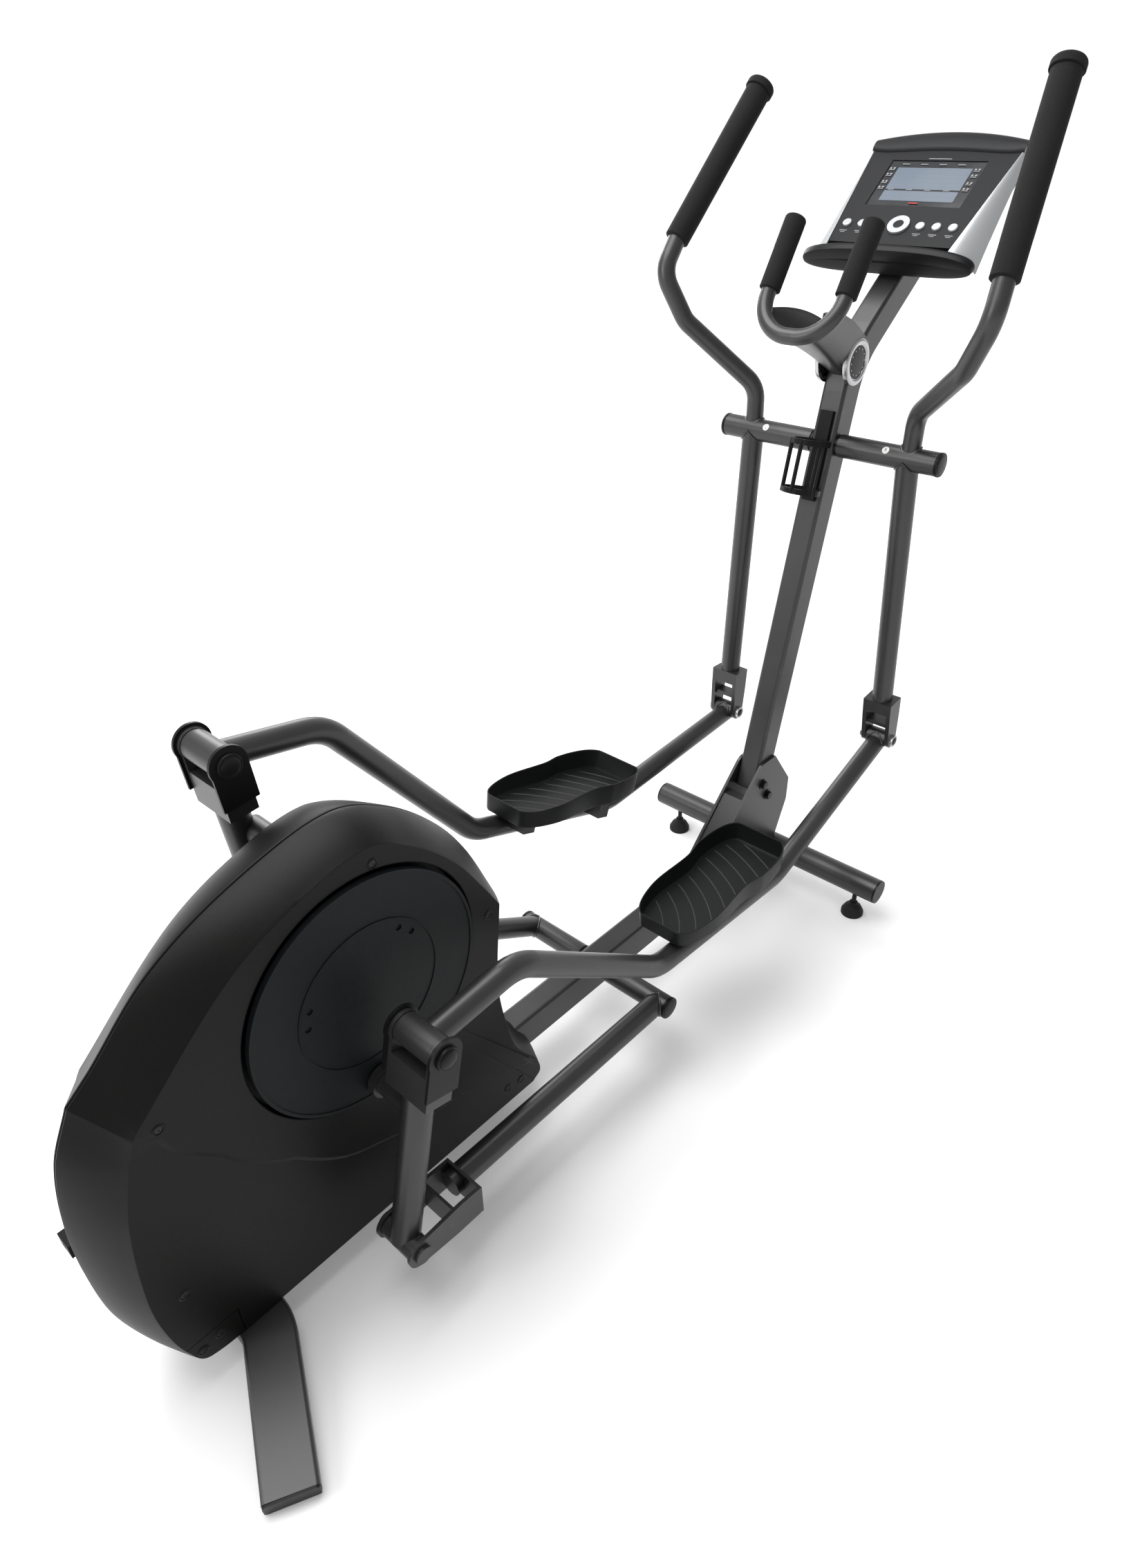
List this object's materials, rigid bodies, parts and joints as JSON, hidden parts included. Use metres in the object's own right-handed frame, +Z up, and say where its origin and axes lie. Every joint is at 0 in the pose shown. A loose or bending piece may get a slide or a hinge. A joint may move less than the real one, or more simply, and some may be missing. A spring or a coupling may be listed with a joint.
{
  "type": "elliptical trainer",
  "caption": "Rear-drive elliptical trainer: crank drive housing, bent pedal arms on swinging handle arms, rocker links, console with pulse grips and front feet.",
  "frame": {"origin": "on the floor, under the middle of the whole machine", "axes": "+X forward from the drive to the console, +Y to the user's left, +Z up"},
  "size_m": [2.0302, 0.6918, 1.5848],
  "materials": {
    "frame_coat": "satin charcoal metallic powder coat",
    "black_plastic": "fine texture, matte",
    "disc_plastic": "matte charcoal",
    "trim_plastic": "semi-matte",
    "foam": "closed-cell foam",
    "foot_rubber": "matte",
    "steel": "machined",
    "screw_black": "black oxide",
    "iron": "turned",
    "silver_plastic": "satin silver",
    "console_plastic": "matte charcoal",
    "window": "smoked gloss",
    "lcd": "grey-blue liquid crystal",
    "badge": "polished ring, dark centre"
  },
  "bodies": {
    "frame": {"badge": "badge", "base_bolts": "screw_black", "base_bracket": "frame_coat", "bottle_cage": "black_plastic", "console_face": "console_plastic", "console_housing": "console_plastic", "console_wings": "silver_plastic", "display_window": "window", "drive_frame": "frame_coat", "end_plugs": "trim_plastic", "front_stabilizer": "frame_coat", "front_upright": "frame_coat", "grip_bracket": "frame_coat", "housing_left": "black_plastic", "housing_right": "black_plastic", "housing_screws": "screw_black", "lcd_panels": "lcd", "main_rail": "frame_coat", "pivot_axles": "steel", "pivot_trim": "trim_plastic", "power_inlet": "black_plastic", "pulse_grips": "foam", "pulse_tube": "frame_coat", "reading_ledge": "black_plastic", "rear_lower_cover": "black_plastic", "rear_stabilizer": "frame_coat"},
    "crank": {"crank_axle": "steel", "crank_arms": "steel", "crank_discs": "disc_plastic"},
    "idler": {"idler_pulley": "iron"},
    "rotor": {"flywheel": "iron"},
    "swing_right": {"swing_arm_right": "frame_coat", "yoke_pin_right": "steel", "handle_right": "frame_coat", "handle_grip_right": "foam"},
    "arm_right": {"pedal_arm_right": "frame_coat", "pedal_tray_right": "black_plastic"},
    "link_right": {"link_right": "frame_coat", "link_trim_right": "trim_plastic"},
    "rocker_right": {"rocker_right": "frame_coat"},
    "foot_right": {"foot_right": "foot_rubber"},
    "swing_left": {"swing_arm_left": "frame_coat", "yoke_pin_left": "steel", "handle_left": "frame_coat", "handle_grip_left": "foam"},
    "arm_left": {"pedal_arm_left": "frame_coat", "pedal_tray_left": "black_plastic"},
    "link_left": {"link_left": "frame_coat", "link_trim_left": "trim_plastic"},
    "rocker_left": {"rocker_left": "frame_coat"},
    "foot_left": {"foot_left": "foot_rubber"},
    "key_button_1": {"button_1": "silver_plastic"},
    "key_button_2": {"button_2": "silver_plastic"},
    "key_button_3": {"button_3": "silver_plastic"},
    "key_button_4": {"button_4": "silver_plastic"},
    "key_button_5": {"button_5": "silver_plastic"},
    "key_button_6": {"button_6": "silver_plastic"},
    "key_ring_button": {"ring_button": "silver_plastic"},
    "key_centre_button": {"centre_button": "console_plastic"}
  },
  "joints": [
    {"name": "crank_spin", "type": "hinge", "parent": "frame", "child": "crank", "pos_m": [-0.575, 0, 0.523], "axis": [0, 1, 0], "continuous": true},
    {"name": "idler_spin", "type": "hinge", "parent": "frame", "child": "idler", "pos_m": [-0.725, 0, 0.392], "axis": [0, 1, 0], "continuous": true},
    {"name": "flywheel_spin", "type": "hinge", "parent": "frame", "child": "rotor", "pos_m": [-0.837, 0, 0.262], "axis": [0, 1, 0], "continuous": true},
    {"name": "stride_right", "type": "hinge", "parent": "frame", "child": "swing_right", "pos_m": [0.6605, -0.166, 0.991], "axis": [0, 1, 0], "range_deg": [-12, 12]},
    {"name": "pedal_arm_right", "type": "hinge", "parent": "swing_right", "child": "arm_right", "pos_m": [0.7454, -0.166, 0.36574], "axis": [0, 1, 0], "range_deg": [-11.8, 11.8]},
    {"name": "link_pivot_right", "type": "hinge", "parent": "arm_right", "child": "link_right", "pos_m": [-0.56962, -0.177, 0.50147], "axis": [0, 1, 0], "range_deg": [-22.6, 22.6]},
    {"name": "rocker_pivot_right", "type": "hinge", "parent": "frame", "child": "rocker_right", "pos_m": [-0.0215, -0.16, 0.132], "axis": [0, 1, 0], "range_deg": [-2.2, 2.2]},
    {"name": "foot_turn_right", "type": "hinge", "parent": "frame", "child": "foot_right", "pos_m": [0.588, -0.245, 0.04], "axis": [0, 0, 1], "continuous": true},
    {"name": "stride_left", "type": "hinge", "parent": "frame", "child": "swing_left", "pos_m": [0.6605, 0.166, 0.991], "axis": [0, 1, 0], "range_deg": [-12.4, 12.4]},
    {"name": "pedal_arm_left", "type": "hinge", "parent": "swing_left", "child": "arm_left", "pos_m": [0.64037, 0.166, 0.36032], "axis": [0, 1, 0], "range_deg": [-12.64, 12.64]},
    {"name": "link_pivot_left", "type": "hinge", "parent": "arm_left", "child": "link_left", "pos_m": [-0.59793, 0.177, 0.82324], "axis": [0, 1, 0], "range_deg": [-21.4, 21.4]},
    {"name": "rocker_pivot_left", "type": "hinge", "parent": "frame", "child": "rocker_left", "pos_m": [-0.0215, 0.16, 0.132], "axis": [0, 1, 0], "range_deg": [-1.6, 1.6]},
    {"name": "foot_turn_left", "type": "hinge", "parent": "frame", "child": "foot_left", "pos_m": [0.588, 0.245, 0.04], "axis": [0, 0, 1], "continuous": true},
    {"name": "button_1_press", "type": "slide", "parent": "frame", "child": "key_button_1", "axis": [0.6056, 0, -0.7958], "range_m": [0, 0.001], "stiffness_N_per_m": 600},
    {"name": "button_2_press", "type": "slide", "parent": "frame", "child": "key_button_2", "axis": [0.6056, 0, -0.7958], "range_m": [0, 0.001], "stiffness_N_per_m": 600},
    {"name": "button_3_press", "type": "slide", "parent": "frame", "child": "key_button_3", "axis": [0.6056, 0, -0.7958], "range_m": [0, 0.001], "stiffness_N_per_m": 600},
    {"name": "button_4_press", "type": "slide", "parent": "frame", "child": "key_button_4", "axis": [0.6056, 0, -0.7958], "range_m": [0, 0.001], "stiffness_N_per_m": 600},
    {"name": "button_5_press", "type": "slide", "parent": "frame", "child": "key_button_5", "axis": [0.6056, 0, -0.7958], "range_m": [0, 0.001], "stiffness_N_per_m": 600},
    {"name": "button_6_press", "type": "slide", "parent": "frame", "child": "key_button_6", "axis": [0.6056, 0, -0.7958], "range_m": [0, 0.001], "stiffness_N_per_m": 600},
    {"name": "ring_button_press", "type": "slide", "parent": "frame", "child": "key_ring_button", "axis": [0.6056, 0, -0.7958], "range_m": [0, 0.001], "stiffness_N_per_m": 600},
    {"name": "centre_button_press", "type": "slide", "parent": "frame", "child": "key_centre_button", "axis": [0.6056, 0, -0.7958], "range_m": [0, 0.001], "stiffness_N_per_m": 600}
  ],
  "couplings": [
    {"joint": "idler_spin", "follows": "crank_spin", "ratio": 5},
    {"joint": "flywheel_spin", "follows": "crank_spin", "ratio": 18.125},
    {"joint": "stride_left", "follows": "stride_right", "ratio": -0.95},
    {"joint": "pedal_arm_right", "follows": "stride_right", "ratio": -0.9},
    {"joint": "link_pivot_right", "follows": "stride_right", "ratio": -1.8},
    {"joint": "rocker_pivot_right", "follows": "stride_right", "ratio": -0.1},
    {"joint": "pedal_arm_left", "follows": "stride_right", "ratio": 0.97},
    {"joint": "link_pivot_left", "follows": "stride_right", "ratio": 1.7},
    {"joint": "rocker_pivot_left", "follows": "stride_right", "ratio": -0.05}
  ]
}
